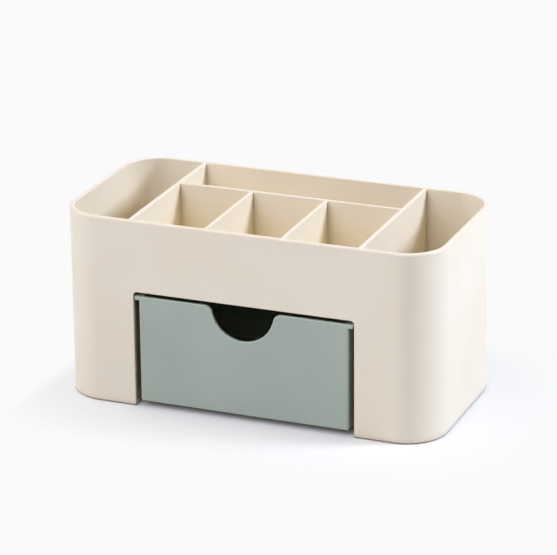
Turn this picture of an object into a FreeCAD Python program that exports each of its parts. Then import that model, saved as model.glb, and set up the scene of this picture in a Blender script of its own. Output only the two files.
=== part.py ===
import FreeCAD, Part
import Sketcher
import math
import os

# Makeup organiser with one drawer: a rounded housing, upright panels that part its top into six
# compartments, and a drawer tray that hangs by its lip on two runners.
# Frame: X to the right along the front, Y to the back, Z up, in millimetres. The origin is on the
# surface that the organiser stands on, under the middle of its base.

# Driving sizes: name, millimetres, what it measures.
SIZES = [
    ("housing_width", 210.0, "housing from side to side"),
    ("housing_depth", 105.0, "housing from front to back"),
    ("housing_height", 104.0, "housing from foot to rim"),
    ("corner_radius", 22.0, "upright outer corners of the housing"),
    ("wall", 2.6, "housing wall"),
    ("floor_thickness", 2.2, "floors of the two end compartments"),
    ("rim_outer_round", 1.2, "rounding of the rim's outer edge"),
    ("rim_inner_round", 0.6, "rounding of the rim's inner edge"),
    ("foot_round", 1.2, "rounding of the housing's bottom edge"),
    ("opening_width", 123.4, "drawer opening in the front wall"),
    ("opening_height", 64.5, "top of the drawer opening above the table"),
    ("opening_corner_round", 2.0, "upper corners of the drawer opening"),
    ("jamb_round", 0.5, "front edge of the drawer opening"),
    ("jamb_lip", 1.0, "front wall left standing in front of each partition"),
    ("partition_thickness", 2.4, "the two cross partitions beside the drawer"),
    ("divider_thickness", 2.0, "long divider and short dividers"),
    ("panel_edge_round", 0.6, "rounding along the top edges of the panels"),
    ("rim_drop", 0.3, "panel tops below the rim"),
    ("groove_depth", 0.8, "grooves that hold the panels' ends"),
    ("groove_clearance", 0.1, "play of a panel in its groove, each way"),
    ("deck_thickness", 2.2, "deck above the drawer"),
    ("deck_lift", 1.0, "deck's underside above the drawer opening"),
    ("long_divider_place", 15.0, "middle of the long divider behind the housing's middle"),
    ("drawer_side_gap", 3.0, "from the opening's edge to the tray's side"),
    ("drawer_top_gap", 2.2, "from the opening's top to the tray's lip"),
    ("drawer_base_gap", 3.4, "air under the tray"),
    ("drawer_rear_gap", 0.4, "from the tray's rear to the back wall"),
    ("drawer_travel", 72.0, "how far the drawer pulls out"),
    ("lip_thickness", 2.0, "lip round the top of the tray"),
    ("lip_side_gap", 0.5, "from the opening's edge to the lip"),
    ("lip_corner_round", 1.0, "upright corners of the lip"),
    ("tray_wall", 2.0, "tray wall"),
    ("tray_floor", 2.0, "tray floor"),
    ("tray_corner_round", 1.2, "upright outer corners of the tray"),
    ("tray_base_round", 1.1, "outer bottom edge of the tray"),
    ("tray_inner_round", 1.6, "inner corners of the tray"),
    ("tray_edge_round", 0.5, "front and top edges of the tray"),
    ("notch_radius", 17.5, "finger notch, hollow curve"),
    ("notch_depth", 17.5, "finger notch below the top of the lip"),
    ("notch_shoulder", 4.5, "finger notch, rounded shoulders"),
    ("rail_height", 5.0, "runner strip"),
    ("rail_tray_gap", 0.5, "from the runner to the tray's side"),
    ("rail_lip_gap", 0.2, "from the runner to the lip that slides on it"),
    ("rail_end_gap", 1.0, "least gap from the runner's ends to the front and back walls"),
    ("rail_lead", 6.0, "runner ahead of its stop tab"),
    ("peg_diameter", 3.0, "pegs that hold a runner on its partition"),
    ("peg_length", 1.5, "pegs beyond the runner's back face"),
    ("peg_clearance", 0.1, "play of a peg in its hole"),
    ("nib_length", 4.0, "stop nib on each side of the tray"),
    ("nib_reach", 2.4, "stop nib out from the tray's side"),
    ("nib_height", 3.0, "stop nib, up and down"),
    ("nib_gap", 0.4, "from the stop nib up to the runner"),
    ("nib_setback", 2.0, "stop nib ahead of the tray's rear"),
    ("stop_length", 3.0, "stop tab under each runner"),
    ("stop_side_gap", 1.0, "from the stop tab to the tray's side"),
    ("stop_clearance", 0.3, "from nib to tab with the drawer pulled out"),
    ("cut_overrun", 1.0, "how far cuts run on past the face they start from"),
]

# Pegs sit this share of the runner's length in from each of its ends.
PEG_PLACE_SHARE = 0.2

# Places worked out from the driving sizes; later rows use earlier ones.
PLACES = [
    ("half_width", "Sizes.housing_width / 2"),
    ("half_depth", "Sizes.housing_depth / 2"),
    ("inner_half_width", "half_width - Sizes.wall"),
    ("inner_half_depth", "half_depth - Sizes.wall"),
    ("inner_corner", "Sizes.corner_radius - Sizes.wall"),
    ("opening_half", "Sizes.opening_width / 2"),
    ("bay_half", "opening_half + Sizes.jamb_lip"),
    ("partition_far", "bay_half + Sizes.partition_thickness"),
    ("panel_top", "Sizes.housing_height - Sizes.rim_drop"),
    ("tongue", "Sizes.groove_depth - Sizes.groove_clearance"),
    ("panel_reach", "inner_half_depth + tongue"),
    ("groove_reach", "inner_half_depth + Sizes.groove_depth"),
    ("groove_floor", "Sizes.floor_thickness - Sizes.groove_depth"),
    ("partition_base", "Sizes.floor_thickness - tongue"),
    ("deck_base", "Sizes.opening_height + Sizes.deck_lift"),
    ("deck_top", "deck_base + Sizes.deck_thickness"),
    ("deck_half", "bay_half + tongue"),
    ("deck_reach", "inner_half_depth - Sizes.groove_clearance"),
    ("divider_half", "Sizes.divider_thickness / 2"),
    ("short_near", "(bay_half - Sizes.divider_thickness) / 3"),
    ("short_far", "short_near + Sizes.divider_thickness"),
    ("long_front", "Sizes.long_divider_place - divider_half"),
    ("long_back", "Sizes.long_divider_place + divider_half"),
    ("short_rear", "long_front + tongue"),
    ("tray_half", "opening_half - Sizes.drawer_side_gap"),
    ("lip_half", "opening_half - Sizes.lip_side_gap"),
    ("tray_front", "-half_depth"),
    ("tray_rear", "inner_half_depth - Sizes.drawer_rear_gap"),
    ("tray_base", "Sizes.drawer_base_gap"),
    ("tray_top", "Sizes.opening_height - Sizes.drawer_top_gap"),
    ("lip_base", "tray_top - Sizes.lip_thickness"),
    ("notch_middle", "tray_top - Sizes.notch_depth + Sizes.notch_radius"),
    ("rail_top", "lip_base - Sizes.rail_lip_gap"),
    ("rail_base", "rail_top - Sizes.rail_height"),
    ("rail_middle", "(rail_top + rail_base) / 2"),
    ("rail_face", "tray_half + Sizes.rail_tray_gap"),
    ("nib_top", "rail_base - Sizes.nib_gap"),
    ("nib_base", "nib_top - Sizes.nib_height"),
    ("nib_back", "tray_rear - Sizes.nib_setback"),
    ("nib_front", "nib_back - Sizes.nib_length"),
    ("nib_face", "tray_half + Sizes.nib_reach"),
    ("stop_back", "nib_front - Sizes.drawer_travel - Sizes.stop_clearance"),
    ("stop_front", "stop_back - Sizes.stop_length"),
    ("stop_face", "tray_half + Sizes.stop_side_gap"),
    ("rail_rear", "inner_half_depth - Sizes.rail_end_gap"),
    ("rail_front", "max(stop_front - Sizes.rail_lead; -rail_rear)"),
    ("rail_length", "rail_rear - rail_front"),
]

# Edges and faces that lie within this distance of a place count as lying on it.
MATCH = 1e-4

doc = FreeCAD.newDocument("MakeupOrganiser")


def make_sheet(name, rows):
    """Fills a spreadsheet with one aliased cell for each row: name, content and an optional note."""
    sheet = doc.addObject("Spreadsheet::Sheet", name)
    for line, row in enumerate(rows, start=1):
        sheet.set(f"A{line}", row[0])
        sheet.set(f"B{line}", row[1])
        sheet.setAlias(f"B{line}", row[0])
        if len(row) > 2:
            sheet.set(f"C{line}", row[2])
    doc.recompute()
    return sheet


sizes = make_sheet("Sizes", [(alias, str(value), note) for alias, value, note in SIZES])
make_sheet("Places", [(alias, "=" + formula) for alias, formula in PLACES])


def number(formula):
    """The value of a formula written in the two sheets' names."""
    found = sizes.evalExpression(formula)
    return float(getattr(found, "Value", found))


def spread(formula):
    """A span that reaches equally far to both sides of the middle."""
    return (f"-({formula})", formula)


def sided(side, near, far):
    """A span on the right half for side 1, or its mirror image on the left half for side -1."""
    if side > 0:
        return (near, far)
    return (f"-({far})", f"-({near})")


def widened(low, high):
    """The span of a groove that takes a panel with play on both sides."""
    return (f"{low} - Sizes.groove_clearance", f"{high} + Sizes.groove_clearance")


# Blocks, cuts and rounded edges for the flat panels and the runners.

def block(name, x_span, y_span, z_span):
    """A box between six bound places."""
    piece = doc.addObject("Part::Box", name)
    for length, axis, (low, high) in zip(("Length", "Width", "Height"), "xyz", (x_span, y_span, z_span)):
        piece.setExpression(length, f"({high}) - ({low})")
        piece.setExpression(f"Placement.Base.{axis}", low)
    doc.recompute()
    return piece


def pin_along_x(name, radius, x_span, y_place, z_place):
    """A round pin that lies along X."""
    piece = doc.addObject("Part::Cylinder", name)
    piece.Placement.Rotation = FreeCAD.Rotation(FreeCAD.Vector(0, 1, 0), 90)
    piece.setExpression("Radius", radius)
    piece.setExpression("Height", f"({x_span[1]}) - ({x_span[0]})")
    for axis, place in zip("xyz", (x_span[0], y_place, z_place)):
        piece.setExpression(f"Placement.Base.{axis}", place)
    doc.recompute()
    return piece


def join(name, pieces):
    """Several solids made one."""
    whole = doc.addObject("Part::MultiFuse", name)
    whole.Shapes = pieces
    whole.Refine = True
    doc.recompute()
    return whole


def cut_away(name, base, tools):
    """A solid less its cutting tools; each tool has to take something away."""
    for tool in tools:
        if base.Shape.common(tool.Shape).Volume <= 0:
            raise RuntimeError(f"{tool.Label} misses {base.Label}")
    result = doc.addObject("Part::Cut", name)
    result.Base = base
    result.Tool = join(f"{name}_tools", tools) if len(tools) > 1 else tools[0]
    doc.recompute()
    return result


def on_level(edge, level):
    """True where an edge lies flat at a height."""
    return abs(edge.BoundBox.ZMin - level) < MATCH and abs(edge.BoundBox.ZMax - level) < MATCH


def soften_top(name, panel, long_side):
    """Rounds the two long top edges of an upright panel; long_side is the letter of its length."""
    level = panel.Shape.BoundBox.ZMax
    reach = {"x": "XLength", "y": "YLength"}[long_side]
    length = getattr(panel.Shape.BoundBox, reach)
    chosen = [i for i, edge in enumerate(panel.Shape.Edges, start=1)
              if on_level(edge, level) and abs(getattr(edge.BoundBox, reach) - length) < MATCH]
    radius = number("Sizes.panel_edge_round")
    rounded = doc.addObject("Part::Fillet", name)
    rounded.Base = panel
    rounded.Edges = [(i, radius, radius) for i in chosen]
    doc.recompute()
    return rounded


# Sketches and features for the two mouldings with a body of their own.

def origin_plane(body, role):
    """One of a body's own origin planes."""
    return next(plane for plane in body.Origin.OriginFeatures if plane.Role == role)


def new_sketch(body, name, role, lift):
    """An empty sketch parallel to an origin plane, lifted along that plane's own axis."""
    sketch = body.newObject("Sketcher::SketchObject", name)
    sketch.AttachmentSupport = (origin_plane(body, role), [""])
    sketch.MapMode = "FlatFace"
    sketch.setExpression("AttachmentOffset.Base.z", lift)
    return sketch


def bind(sketch, constraint, formula):
    """Adds a constraint and drives its value by a formula."""
    index = sketch.addConstraint(constraint)
    sketch.setExpression(f"Constraints[{index}]", formula)


def add_rectangle(sketch, u_span, v_span):
    """A rectangle whose lower left and upper right corners are bound to places."""
    u_low, u_high, v_low, v_high = (number(formula) for formula in (*u_span, *v_span))
    corners = [(u_low, v_low), (u_high, v_low), (u_high, v_high), (u_low, v_high)]
    points = [FreeCAD.Vector(u, v, 0) for u, v in corners]
    first = sketch.GeometryCount
    for i in range(4):
        sketch.addGeometry(Part.LineSegment(points[i], points[(i + 1) % 4]), False)
    for i in range(4):
        sketch.addConstraint(Sketcher.Constraint("Coincident", first + i, 2, first + (i + 1) % 4, 1))
        sketch.addConstraint(Sketcher.Constraint(("Horizontal", "Vertical")[i % 2], first + i))
    for line, u_formula, v_formula in ((first, u_span[0], v_span[0]), (first + 2, u_span[1], v_span[1])):
        bind(sketch, Sketcher.Constraint("DistanceX", -1, 1, line, 1, number(u_formula)), u_formula)
        bind(sketch, Sketcher.Constraint("DistanceY", -1, 1, line, 1, number(v_formula)), v_formula)


def rectangle_sketch(body, name, role, lift, *rectangles):
    """A sketch with one or more rectangles."""
    sketch = new_sketch(body, name, role, lift)
    for u_span, v_span in rectangles:
        add_rectangle(sketch, u_span, v_span)
    doc.recompute()
    return sketch


def rounded_sketch(body, name, lift, u_span, v_span, radius):
    """A level sketch of one rectangle with rounded corners: each side is followed by its corner arc."""
    sketch = new_sketch(body, name, "XY_Plane", lift)
    u_low, u_high, v_low, v_high = (number(formula) for formula in (*u_span, *v_span))
    corner = number(radius)
    centres = [(u_high - corner, v_low + corner), (u_high - corner, v_high - corner),
               (u_low + corner, v_high - corner), (u_low + corner, v_low + corner)]
    quarter = math.pi / 2
    arcs = [Part.ArcOfCircle(Part.Circle(FreeCAD.Vector(u, v, 0), FreeCAD.Vector(0, 0, 1), corner),
                             (i - 1) * quarter, i * quarter) for i, (u, v) in enumerate(centres)]
    for i in range(4):
        sketch.addGeometry(Part.LineSegment(arcs[i - 1].EndPoint, arcs[i].StartPoint), False)
        sketch.addGeometry(arcs[i], False)
    for i in range(4):
        side, arc, next_side = 2 * i, 2 * i + 1, (2 * i + 2) % 8
        sketch.addConstraint(Sketcher.Constraint("Tangent", side, 2, arc, 1))
        sketch.addConstraint(Sketcher.Constraint("Tangent", arc, 2, next_side, 1))
    for i in range(3):
        sketch.addConstraint(Sketcher.Constraint("Equal", 1, 2 * i + 3))
    sketch.addConstraint(Sketcher.Constraint("Horizontal", 0))
    sketch.addConstraint(Sketcher.Constraint("Vertical", 2))
    bind(sketch, Sketcher.Constraint("Radius", 1, corner), radius)
    for kind, side, formula in (("DistanceY", 0, v_span[0]), ("DistanceX", 2, u_span[1]),
                                ("DistanceY", 4, v_span[1]), ("DistanceX", 6, u_span[0])):
        bind(sketch, Sketcher.Constraint(kind, -1, 1, side, 1, number(formula)), formula)
    doc.recompute()
    return sketch


def grow(body, kind, name, sketch, length):
    """A pad or pocket of a bound length, which has to add or take away material."""
    before = body.Shape.Volume if body.Tip else 0
    feature = body.newObject(f"PartDesign::{kind}", name)
    feature.Profile = sketch
    feature.setExpression("Length", length)
    doc.recompute()
    gained = body.Shape.Volume - before
    if (gained > 0) != (kind == "Pad") or gained == 0:
        raise RuntimeError(f"{name} does not change the body as a {kind} should")
    return feature


def pad(body, name, sketch, length):
    """Material added along the sketch's axis."""
    return grow(body, "Pad", name, sketch, length)


def pocket(body, name, sketch, length):
    """Material cut away against the sketch's axis."""
    return grow(body, "Pocket", name, sketch, length)


def fillet(body, name, wanted, radius):
    """Rounds every edge of the body that the test function wants."""
    base = body.Tip
    chosen = [f"Edge{i}" for i, edge in enumerate(base.Shape.Edges, start=1) if wanted(edge)]
    if not chosen:
        raise RuntimeError(f"{name} finds no edge")
    feature = body.newObject("PartDesign::Fillet", name)
    feature.Base = (base, chosen)
    feature.setExpression("Radius", radius)
    doc.recompute()
    return feature


def edge_middle(edge):
    """The point halfway along an edge."""
    return edge.valueAt((edge.FirstParameter + edge.LastParameter) / 2)


def make_housing():
    """The outer moulding: a rounded box with two end floors and an opening for the drawer."""
    body = doc.addObject("PartDesign::Body", "HousingShell")
    body.Label = "housing_shell"
    height, lintel = number("Sizes.housing_height"), number("Sizes.opening_height")
    half_depth, inner_depth = number("Places.half_depth"), number("Places.inner_half_depth")
    jamb = number("Places.opening_half")
    top = "Sizes.housing_height"

    outline = rounded_sketch(body, "HousingOutline", "0", spread("Places.half_width"),
                             spread("Places.half_depth"), "Sizes.corner_radius")
    pad(body, "HousingBlock", outline, top)
    fillet(body, "HousingFoot", lambda edge: on_level(edge, 0), "Sizes.foot_round")
    fillet(body, "RimOuterEdge", lambda edge: on_level(edge, height), "Sizes.rim_outer_round")

    cavity = rounded_sketch(body, "HousingCavity", top, spread("Places.inner_half_width"),
                            spread("Places.inner_half_depth"), "Places.inner_corner")
    pocket(body, "HousingHollow", cavity, "Sizes.housing_height - Sizes.floor_thickness")
    rim = next(face for face in body.Shape.Faces if all(on_level(edge, height) for edge in face.Edges))
    outside = [edge.hashCode() for edge in rim.OuterWire.Edges]
    fillet(body, "RimInnerEdge", lambda edge: on_level(edge, height) and edge.hashCode() not in outside,
           "Sizes.rim_inner_round")

    bay_floor = rectangle_sketch(body, "BayFloor", "XY_Plane", "Sizes.floor_thickness",
                                 (spread("Places.opening_half"), spread("Places.inner_half_depth")))
    pocket(body, "BayFloorCut", bay_floor, "Sizes.floor_thickness + Sizes.cut_overrun")
    opening_rise = ("-Sizes.cut_overrun", "Sizes.opening_height")
    opening = rectangle_sketch(body, "DrawerOpening", "XZ_Plane", "Places.half_depth",
                               (spread("Places.opening_half"), opening_rise))
    pocket(body, "DrawerOpeningCut", opening, "Places.half_depth")

    def opening_corner(edge):
        middle = edge_middle(edge)
        return (on_level(edge, lintel) and edge.BoundBox.XLength < MATCH and middle.y < -inner_depth
                and abs(abs(middle.x) - jamb) < MATCH)

    fillet(body, "OpeningCorners", opening_corner, "Sizes.opening_corner_round")

    def opening_front(edge):
        box = edge.BoundBox
        return (box.YMax < MATCH - half_depth and box.ZMax < lintel + MATCH
                and abs(edge_middle(edge).x) < jamb + MATCH)

    fillet(body, "OpeningEdge", opening_front, "Sizes.jamb_round")

    across = [sided(side, *widened("Places.bay_half", "Places.partition_far")) for side in (-1, 1)]
    slots = rectangle_sketch(body, "PartitionGrooves", "XY_Plane", top,
                             *[(span, spread("Places.groove_reach")) for span in across])
    pocket(body, "PartitionGrooveCut", slots, "Sizes.housing_height - Places.groove_floor")

    across = [sided(side, *widened("Places.short_near", "Places.short_far")) for side in (-1, 1)]
    inward = ("-Places.groove_reach", "-Places.inner_half_depth + Sizes.cut_overrun")
    slots = rectangle_sketch(body, "DividerGrooves", "XY_Plane", top, *[(span, inward) for span in across])
    pocket(body, "DividerGrooveCut", slots, "Sizes.housing_height - Places.deck_top")
    return body


def make_partition(side, label):
    """A full-height cross partition, grooved for deck and divider and drilled for a runner's pegs."""
    panel = block(f"{label}_panel", sided(side, "Places.bay_half", "Places.partition_far"),
                  spread("Places.panel_reach"), ("Places.partition_base", "Places.panel_top"))
    rounded = soften_top(f"{label}_rounded", panel, "y")
    groove_span = sided(side, "Places.bay_half - Sizes.cut_overrun", "Places.bay_half + Sizes.groove_depth")
    deck_slot = block(f"{label}_deck_slot", groove_span, spread("Places.inner_half_depth"),
                      widened("Places.deck_base", "Places.deck_top"))
    divider_slot = block(f"{label}_divider_slot", groove_span,
                         widened("Places.long_front", "Places.long_back"),
                         ("Places.deck_top", "Sizes.housing_height + Sizes.cut_overrun"))
    hole_span = sided(side, "Places.bay_half - Sizes.cut_overrun",
                      "Places.bay_half + Sizes.peg_length + Sizes.peg_clearance")
    holes = [pin_along_x(f"{label}_hole_{name}", "Sizes.peg_diameter / 2 + Sizes.peg_clearance", hole_span,
                         place, "Places.rail_middle") for name, place in peg_places()]
    partition = cut_away(label, rounded, [deck_slot, divider_slot, *holes])
    partition.Label = label
    return partition


def peg_places():
    """Names and places of a runner's two pegs along Y."""
    inset = f"Places.rail_length * {PEG_PLACE_SHARE}"
    return [("front", f"Places.rail_front + {inset}"), ("rear", f"Places.rail_rear - {inset}")]


def make_deck():
    """The deck over the drawer, with its ends in the partitions' grooves."""
    deck = block("centre_deck", spread("Places.deck_half"), spread("Places.deck_reach"),
                 ("Places.deck_base", "Places.deck_top"))
    deck.Label = "centre_deck"
    return deck


def make_long_divider():
    """The long divider between the partitions, grooved for the ends of the short dividers."""
    panel = block("long_divider_panel", spread("Places.deck_half"), ("Places.long_front", "Places.long_back"),
                  ("Places.deck_top", "Places.panel_top"))
    rounded = soften_top("long_divider_rounded", panel, "x")
    across = widened("Places.short_near", "Places.short_far")
    slots = [block(f"long_divider_slot_{name}", sided(side, *across),
                   ("Places.long_front - Sizes.cut_overrun", "Places.long_front + Sizes.groove_depth"),
                   ("Places.deck_top - Sizes.cut_overrun", "Sizes.housing_height + Sizes.cut_overrun"))
             for name, side in (("left", -1), ("right", 1))]
    divider = cut_away("long_divider", rounded, slots)
    divider.Label = "long_divider"
    return divider


def make_short_divider(side, label):
    """A short divider between the front wall and the long divider."""
    span = sided(side, "Places.short_near", "Places.short_far")
    panel = block(f"{label}_panel", span, ("-Places.panel_reach", "Places.short_rear"),
                  ("Places.deck_top", "Places.panel_top"))
    divider = soften_top(label, panel, "y")
    divider.Label = label
    return divider


def make_rail(side, label):
    """A runner strip with two pegs into its partition and a stop tab under it."""
    strip = block(f"{label}_strip", sided(side, "Places.rail_face", "Places.bay_half"),
                  ("Places.rail_front", "Places.rail_rear"), ("Places.rail_base", "Places.rail_top"))
    peg_span = sided(side, "Places.rail_face", "Places.bay_half + Sizes.peg_length")
    pegs = [pin_along_x(f"{label}_peg_{name}", "Sizes.peg_diameter / 2", peg_span, place,
                        "Places.rail_middle") for name, place in peg_places()]
    tab = block(f"{label}_stop", sided(side, "Places.stop_face", "Places.bay_half"),
                ("Places.stop_front", "Places.stop_back"), ("Places.nib_base", "Places.rail_middle"))
    rail = join(label, [strip, *pegs, tab])
    rail.Label = label
    return rail


def make_tray():
    """The drawer: a deep tray with a lip to slide on, a finger notch and two stop nibs."""
    body = doc.addObject("PartDesign::Body", "DrawerTray")
    body.Label = "drawer_tray"
    front, rear = number("Places.tray_front"), number("Places.tray_rear")
    base, top = number("Places.tray_base"), number("Places.tray_top")
    lip_base, lip_half = number("Places.lip_base"), number("Places.lip_half")
    inner_front = number("Places.tray_front + Sizes.tray_wall")
    length = ("Places.tray_front", "Places.tray_rear")

    outline = rounded_sketch(body, "TrayOutline", "Places.tray_base", spread("Places.tray_half"), length,
                             "Sizes.tray_corner_round")
    pad(body, "TrayBlock", outline, "Places.tray_top - Places.tray_base")
    fillet(body, "TrayBaseEdge", lambda edge: on_level(edge, base), "Sizes.tray_base_round")

    lip = rounded_sketch(body, "LipOutline", "Places.lip_base", spread("Places.lip_half"), length,
                         "Sizes.lip_corner_round")
    pad(body, "TrayLip", lip, "Sizes.lip_thickness")

    inside = rounded_sketch(body, "TrayInside", "Places.tray_top",
                            spread("Places.tray_half - Sizes.tray_wall"),
                            ("Places.tray_front + Sizes.tray_wall", "Places.tray_rear - Sizes.tray_wall"),
                            "Sizes.tray_inner_round")
    pocket(body, "TrayHollow", inside, "Places.tray_top - Places.tray_base - Sizes.tray_floor")
    floor_level = number("Places.tray_base + Sizes.tray_floor")
    fillet(body, "HollowTrayFloor", lambda edge: on_level(edge, floor_level), "Sizes.tray_inner_round")

    notch = new_sketch(body, "NotchOutline", "XZ_Plane", "-Places.tray_front")
    middle, radius = number("Places.notch_middle"), number("Sizes.notch_radius")
    notch.addGeometry(Part.Circle(FreeCAD.Vector(0, middle, 0), FreeCAD.Vector(0, 0, 1), radius), False)
    notch.addConstraint(Sketcher.Constraint("PointOnObject", 0, 3, -2))
    bind(notch, Sketcher.Constraint("Radius", 0, radius), "Sizes.notch_radius")
    bind(notch, Sketcher.Constraint("DistanceY", -1, 1, 0, 3, middle), "Places.notch_middle")
    doc.recompute()
    pocket(body, "FingerNotch", notch, "Sizes.tray_wall + Sizes.cut_overrun")

    def shoulder(edge):
        box, place = edge.BoundBox, edge_middle(edge)
        return (on_level(edge, top) and box.XLength < MATCH and place.y < inner_front
                and abs(place.x) < radius + MATCH)

    fillet(body, "NotchShoulders", shoulder, "Sizes.notch_shoulder")

    nib_spans = [sided(side, "Places.tray_half - Sizes.tray_wall / 2", "Places.nib_face") for side in (-1, 1)]
    nibs = rectangle_sketch(body, "StopNibs", "XY_Plane", "Places.nib_base",
                            *[(span, ("Places.nib_front", "Places.nib_back")) for span in nib_spans])
    pad(body, "StopNibPads", nibs, "Sizes.nib_height")

    def front_or_top(edge):
        place, box = edge_middle(edge), edge.BoundBox
        on_front = box.YMax - front < MATCH and box.ZMin > lip_base + MATCH and box.XLength > MATCH
        at_side = abs(abs(place.x) - lip_half) < number("Sizes.lip_corner_round")
        at_rear = rear - place.y < number("Sizes.lip_corner_round")
        return on_front or (on_level(edge, top) and (at_side or at_rear))

    fillet(body, "TrayEdges", front_or_top, "Sizes.tray_edge_round")
    return body


def write_parts(pieces):
    """Checks every object of the document, then writes one file for each piece."""
    doc.recompute()
    for item in doc.Objects:
        if {"Invalid", "Error"} & set(item.State):
            raise RuntimeError(f"{item.Label} failed: {item.State}")
    for piece in pieces:
        if piece.Shape.isNull() or not piece.Shape.isValid() or len(piece.Shape.Solids) != 1:
            raise RuntimeError(f"{piece.Label} is not one valid solid")
    os.makedirs("parts", exist_ok=True)
    for piece in pieces:
        piece.Shape.exportStep(f"parts/{piece.Label}.step")
        box = piece.Shape.optimalBoundingBox()
        print(f"{piece.Label}: {piece.Shape.Volume:.0f} mm3, "
              f"{box.XLength:.2f} x {box.YLength:.2f} x {box.ZLength:.2f} mm")


write_parts([
    make_housing(),
    make_partition(-1, "partition_left"),
    make_partition(1, "partition_right"),
    make_deck(),
    make_long_divider(),
    make_short_divider(-1, "short_divider_left"),
    make_short_divider(1, "short_divider_right"),
    make_rail(-1, "drawer_rail_left"),
    make_rail(1, "drawer_rail_right"),
    make_tray(),
])
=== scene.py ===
import math
from typing import NamedTuple

import bpy
import numpy as np
from bpy.props import FloatProperty, FloatVectorProperty, IntProperty, PointerProperty
from mathutils import Matrix, Vector


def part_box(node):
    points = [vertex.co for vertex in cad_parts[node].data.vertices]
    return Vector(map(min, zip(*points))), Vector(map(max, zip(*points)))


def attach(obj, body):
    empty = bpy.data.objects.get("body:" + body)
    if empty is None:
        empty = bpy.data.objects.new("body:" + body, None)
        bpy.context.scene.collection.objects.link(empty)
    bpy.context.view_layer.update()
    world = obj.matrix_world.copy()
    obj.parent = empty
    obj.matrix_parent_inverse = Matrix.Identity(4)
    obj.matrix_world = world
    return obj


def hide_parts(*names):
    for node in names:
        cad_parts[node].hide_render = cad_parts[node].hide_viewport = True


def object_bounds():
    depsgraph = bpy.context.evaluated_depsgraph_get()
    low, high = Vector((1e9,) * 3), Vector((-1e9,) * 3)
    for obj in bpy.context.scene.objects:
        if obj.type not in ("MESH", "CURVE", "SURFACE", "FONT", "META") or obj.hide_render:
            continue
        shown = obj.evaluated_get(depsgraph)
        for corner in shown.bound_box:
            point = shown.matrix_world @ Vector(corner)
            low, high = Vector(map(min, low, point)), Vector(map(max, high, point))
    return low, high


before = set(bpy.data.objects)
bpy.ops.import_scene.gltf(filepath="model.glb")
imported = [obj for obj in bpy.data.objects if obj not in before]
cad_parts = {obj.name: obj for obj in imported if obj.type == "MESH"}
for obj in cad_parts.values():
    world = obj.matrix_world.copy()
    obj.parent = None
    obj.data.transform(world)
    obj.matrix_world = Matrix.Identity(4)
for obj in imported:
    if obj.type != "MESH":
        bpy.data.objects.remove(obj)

# A makeup organiser with one drawer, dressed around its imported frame. The housing, the upright panels and
# the drawer tray are smooth moulded surfaces worked out here. The deck and the runners keep their own solids.
# All sizes are in metres, in the frame's own axes: X to the right, Y to the back, Z up.

bl_info = {
    "name": "Makeup organiser",
    "version": (1, 0, 0),
    "blender": (4, 5, 0),
    "location": "3D View > Sidebar > Organiser",
    "description": "Moulded surfaces, plastics and a studio stage for a makeup organiser with a drawer",
    "category": "Object",
}

CAD_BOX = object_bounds()
MIDDLE = (Vector(CAD_BOX[0]) + Vector(CAD_BOX[1])) / 2
HOUSING_LOW, HOUSING_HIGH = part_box("housing_shell")
TRAY_LOW, TRAY_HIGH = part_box("drawer_tray")

# Panels that show their top edges, with the letter of the axis that each runs along.
PANELS = {
    "partition_left": "y",
    "partition_right": "y",
    "long_divider": "x",
    "short_divider_left": "y",
    "short_divider_right": "y",
}
# Pieces whose own solids stay, with the material of each.
KEPT_SOLIDS = {
    "centre_deck": "cream_plastic",
    "drawer_rail_left": "cream_runner",
    "drawer_rail_right": "cream_runner",
}


class Lamp(NamedTuple):
    """A lamp's place and look: degrees to the right of the front, degrees up, degrees across, and tint."""

    turn: float
    rise: float
    across: float
    tint: tuple


# Lamps under the names of the properties that hold their strengths.
LAMPS = {
    "key": Lamp(110, 31, 14, (0.9, 0.98, 1.24)),
    "front_fill": Lamp(0, 45, 40, (1.01, 0.97, 1.17)),
    "left_fill": Lamp(-60, 40, 70, (1.01, 1.0, 1.12)),
    "back_fill": Lamp(180, 50, 70, (1.0, 1.0, 1.0)),
}

# Shares of open air around a place: the whole painted shade up to the first, none from the second on.
# For the painted shade, warmer and darker, low in the compartments.
LOW_SHADE_AIR = (0.08, 0.28)
# For the painted shade in narrow gaps.
GAP_SHADE_AIR = (0.1, 0.65)
# Rays that feel for open air around a place on the plastics and on the floor.
PLASTIC_RAYS = 8
FLOOR_RAYS = 16
# Levels of noise between which the colour drifts, and how far the roughness drifts with the ripple.
DRIFT_NOISE = (0.35, 0.65)
ROUGHNESS_DRIFT = 0.08
# How strong the worn smoothness and the painted highlight of the proudest edge are without noise, and what
# full noise adds.
HIGHLIT_WEAR_LEAST = 0.55
HIGHLIT_WEAR_MORE = 0.7
PLASTIC_IOR = 1.49

QUARTER = math.pi / 2
RIGHT, BACK, UP = np.eye(3)
# Directions in a section: along its side and against it, along its rise and against it.
SECTION_OUT, SECTION_IN = (1.0, 0.0), (-1.0, 0.0)
SECTION_UP, SECTION_DOWN = (0.0, 1.0), (0.0, -1.0)
# Points closer than this are one.
WELD = 1e-7
# The finger notch's half-moon has this many times the facets of a small rounding.
MOON_FINENESS = 6

# Facets of the floor, round it and outwards.
FLOOR_SPOKES = 96
FLOOR_RINGS = 24
# The photograph's width and the focal length fitted to it, in pixels.
PHOTO_WIDTH = 557
FOCAL_PIXELS = 3096
SENSOR_MILLIMETRES = 36.0
# How far the camera sees.
CAMERA_SIGHT = 50.0
WHITE = (1.0, 1.0, 1.0, 1.0)


# Properties that a user would change.

def length(name, description, default):
    """A size in metres."""
    return FloatProperty(name=name, description=description, default=default, min=0.0, precision=4,
                         unit="LENGTH")


def offset(name, description, default):
    """A distance in metres, either way."""
    return FloatProperty(name=name, description=description, default=default, precision=4, unit="LENGTH")


def angle(name, description, degrees):
    """An angle, given in degrees."""
    return FloatProperty(name=name, description=description, default=math.radians(degrees),
                         subtype="ANGLE")


def amount(name, description, default):
    """A plain number from zero up."""
    return FloatProperty(name=name, description=description, default=default, min=0.0)


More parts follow.
